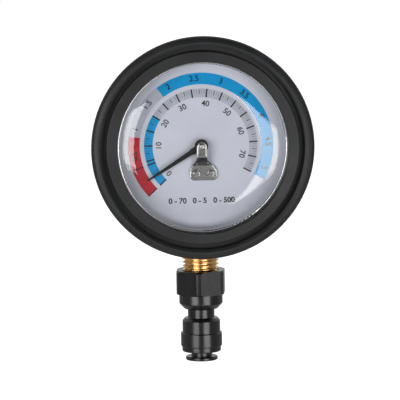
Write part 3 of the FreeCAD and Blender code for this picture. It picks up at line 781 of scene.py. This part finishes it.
@dataclass
class Movement:
    """Bridge, pointer, arbor and the coiled tube."""

    bench: Bench
    rim_round: float = 0.8 * MM

    def build(self) -> None:
        """Finish the movement's nodes."""
        nickel = MetalFinish("bridge_nickel", (0.46, 0.455, 0.44), (0.36, 0.35, 0.33), 0.09,
                             rim=self.rim_round).material()
        plated = MetalFinish("bridge_screw_steel", (0.56, 0.55, 0.52), (0.42, 0.4, 0.37),
                             0.10).material()
        black = PaintFinish("pointer_black", (0.004, 0.004, 0.0045), 0.45, ior=1.15).material()
        ground = MetalFinish("ground_steel", (0.7, 0.69, 0.67), (0.6, 0.59, 0.56),
                             0.12).material()
        brass = MetalFinish("movement_brass", (0.80, 0.56, 0.24), (0.62, 0.42, 0.18),
                            0.25).material()
        bronze = MetalFinish("coil_bronze", (0.72, 0.44, 0.24), (0.55, 0.33, 0.18),
                             0.25).material()
        self.bench.dress("bridge", nickel)
        for node in ("bridge_screws", "rear_bracket_screws"):
            self.bench.dress(node, plated)
        for node in ("pointer", "pointer_hub"):
            self.bench.dress(node, black)
        for node in ("arbor", "grab_ring"):
            self.bench.dress(node, ground)
        for node in ("rear_bearing", "rear_bracket", "tube_end_tab", "restrictor"):
            self.bench.dress(node, brass)
        self.bench.dress("bourdon_tube", bronze)


@dataclass
class Fitting:
    """Brass stem and black coupling."""

    bench: Bench

    def build(self) -> None:
        """Finish the stem and the coupling."""
        brass = MetalFinish("stem_brass", (0.88, 0.67, 0.37), (0.78, 0.54, 0.25),
                            0.19).material()
        nylon = PlasticFinish("black_nylon").material()
        seal = RubberFinish("tube_seal_rubber", (0.02, 0.02, 0.02), (0.03, 0.03, 0.03)).material()
        self.bench.dress("socket", brass)
        for node in ("coupling_body", "coupling_cap", "collet", "oring_spacer"):
            self.bench.dress(node, nylon)
        self.bench.dress("tube_oring", seal)


@dataclass(frozen=True)
class Softbox:
    """A softbox that faces the gauge, with its sides and edges in degrees as seen from there.

    The sides are counted from the camera's direction and the edges from the horizon. The
    radiance is how bright its face is, where 1 is white.
    """

    name: str
    sides: Span
    edges: Span
    radiance: float


@dataclass
class Studio:
    """Camera, lamps, world and floor."""

    azimuth: float = -5.05
    elevation: float = 7.3
    roll: float = -0.872
    distance: float = 1.1323
    metres_per_pixel: float = 0.00036382
    picture: int = 400
    aim: Triple = (0.0, -0.010, 0.060)
    aim_pixel: Span = (201.85, 201.3)
    sensor: float = 36.0
    view_depth: float = 20.0
    box_distance: float = 1.2
    boxes: tuple[Softbox, ...] = (
        Softbox("softbox_left", (-48.5, -15.0), (-13.0, 16.0), 5.2),
        Softbox("softbox_right", (15.0, 48.5), (-16.5, 4.5), 4.6))
    room_front: float = 0.10
    room_back: float = 0.7
    room_turn: Span = (-0.05, 0.2)
    floor_drop: float = 0.55
    floor_half: float = 9.0
    floor_grey: float = 0.8
    floor_roughness: float = 0.9
    floor_glow: float = 0.9

    def direction(self, azimuth: float, elevation: float) -> Vector:
        """Way from the gauge to a place round it.

        Args:
            azimuth: 0 is in front, at -Y, and 90 at +X, in degrees.
            elevation: Above the horizon, in degrees.

        Returns:
            A vector of length 1.
        """
        turn, rise = math.radians(azimuth), math.radians(elevation)
        level = math.cos(rise)
        return Vector((math.sin(turn) * level, -math.cos(turn) * level, math.sin(rise)))

    def camera(self) -> None:
        """Put the camera where the photograph was taken from."""
        back = self.direction(self.azimuth, self.elevation)
        turn = back.to_track_quat("Z", "Y")
        right, up = turn @ Vector((1, 0, 0)), turn @ Vector((0, 1, 0))
        middle = self.picture / 2
        slide = right * (middle - self.aim_pixel[0]) + up * (self.aim_pixel[1] - middle)
        data = bpy.data.cameras.new("camera")
        data.sensor_width = self.sensor
        data.lens = self.sensor * self.distance / (self.picture * self.metres_per_pixel)
        data.clip_end = self.view_depth
        made = place_object("camera", data)
        made.location = Vector(self.aim) + back * self.distance + slide * self.metres_per_pixel
        made.rotation_mode = "QUATERNION"
        roll = Matrix.Rotation(math.radians(self.roll), 3, "Z").to_quaternion()
        made.rotation_quaternion = turn @ roll
        bpy.context.scene.camera = made

    def softbox(self, box: Softbox) -> None:
        """Put up a softbox.

        Args:
            box: The softbox.
        """
        reach = 2 * self.box_distance
        data = bpy.data.lights.new(box.name, "AREA")
        data.shape = "RECTANGLE"
        data.size = reach * math.tan(math.radians((box.sides[1] - box.sides[0]) / 2))
        data.size_y = reach * math.tan(math.radians((box.edges[1] - box.edges[0]) / 2))
        data.energy = box.radiance * math.pi * data.size * data.size_y
        made = place_object(box.name, data)
        way = self.direction(self.azimuth + sum(box.sides) / 2, sum(box.edges) / 2)
        made.location = Vector(self.aim) + way * self.box_distance
        made.rotation_mode = "QUATERNION"
        made.rotation_quaternion = way.to_track_quat("Z", "Y")

    def world(self) -> None:
        """White background, and a room that is dim in front and lighter behind."""
        world = bpy.data.worlds.new("studio")
        world.use_nodes = True
        bpy.context.scene.world = world
        nodes = Nodes(world.node_tree)
        path = nodes.add("LightPath")
        way = nodes.add("SeparateXYZ", {0: nodes.add("TexCoord").outputs["Generated"]})
        first, last = self.room_turn
        room = nodes.add("MapRange", {
            "Value": way.outputs["Y"], "From Min": first, "From Max": last,
            "To Min": self.room_front, "To Max": self.room_back})
        white = nodes.larger(path.outputs["Is Camera Ray"], path.outputs["Is Transmission Ray"])
        light = nodes.add("Background", {
            "Color": (1, 1, 1, 1), "Strength": nodes.larger(white, room.outputs["Result"])})
        nodes.add("OutputWorld", {"Surface": light.outputs[0]})

    def floor(self) -> None:
        """Pale floor under the gauge, which glows only for the camera."""
        half, height, grey = self.floor_half, -self.floor_drop, self.floor_grey
        corners = [(-half, -half, height), (half, -half, height),
                   (half, half, height), (-half, half, height)]
        mesh = mesh_of("floor", corners, [[0, 1, 2, 3]])
        graph = Graph("floor_paper")
        matt = graph.add("BsdfPrincipled", {
            "Base Color": (grey, grey, grey, 1), "Roughness": self.floor_roughness})
        glow = graph.add("Emission", {"Color": (1, 1, 1, 1), "Strength": self.floor_glow})
        lit = graph.add("AddShader", {0: matt.outputs[0], 1: glow.outputs[0]})
        shown = graph.add("LightPath").outputs["Is Camera Ray"]
        paper = graph.add("MixShader", {0: shown, 1: matt.outputs[0], 2: lit.outputs[0]})
        mesh.materials.append(graph.close(paper))
        made = place_object("floor", mesh)

    def build(self) -> None:
        """Set up the whole studio."""
        self.camera()
        self.world()
        self.floor()
        for box in self.boxes:
            self.softbox(box)
        bpy.context.scene.view_settings.view_transform = "Standard"
        LOG.info("studio ready")


def main() -> None:
    """Build the gauge's looks round its frame."""
    logging.basicConfig(level=logging.INFO, format="%(message)s")
    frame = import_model()
    bench = Bench(frame)
    for assembly in (Housing(bench), DialFace(bench), Movement(bench), Fitting(bench), Studio()):
        assembly.build()


if __name__ == "__main__":
    main()
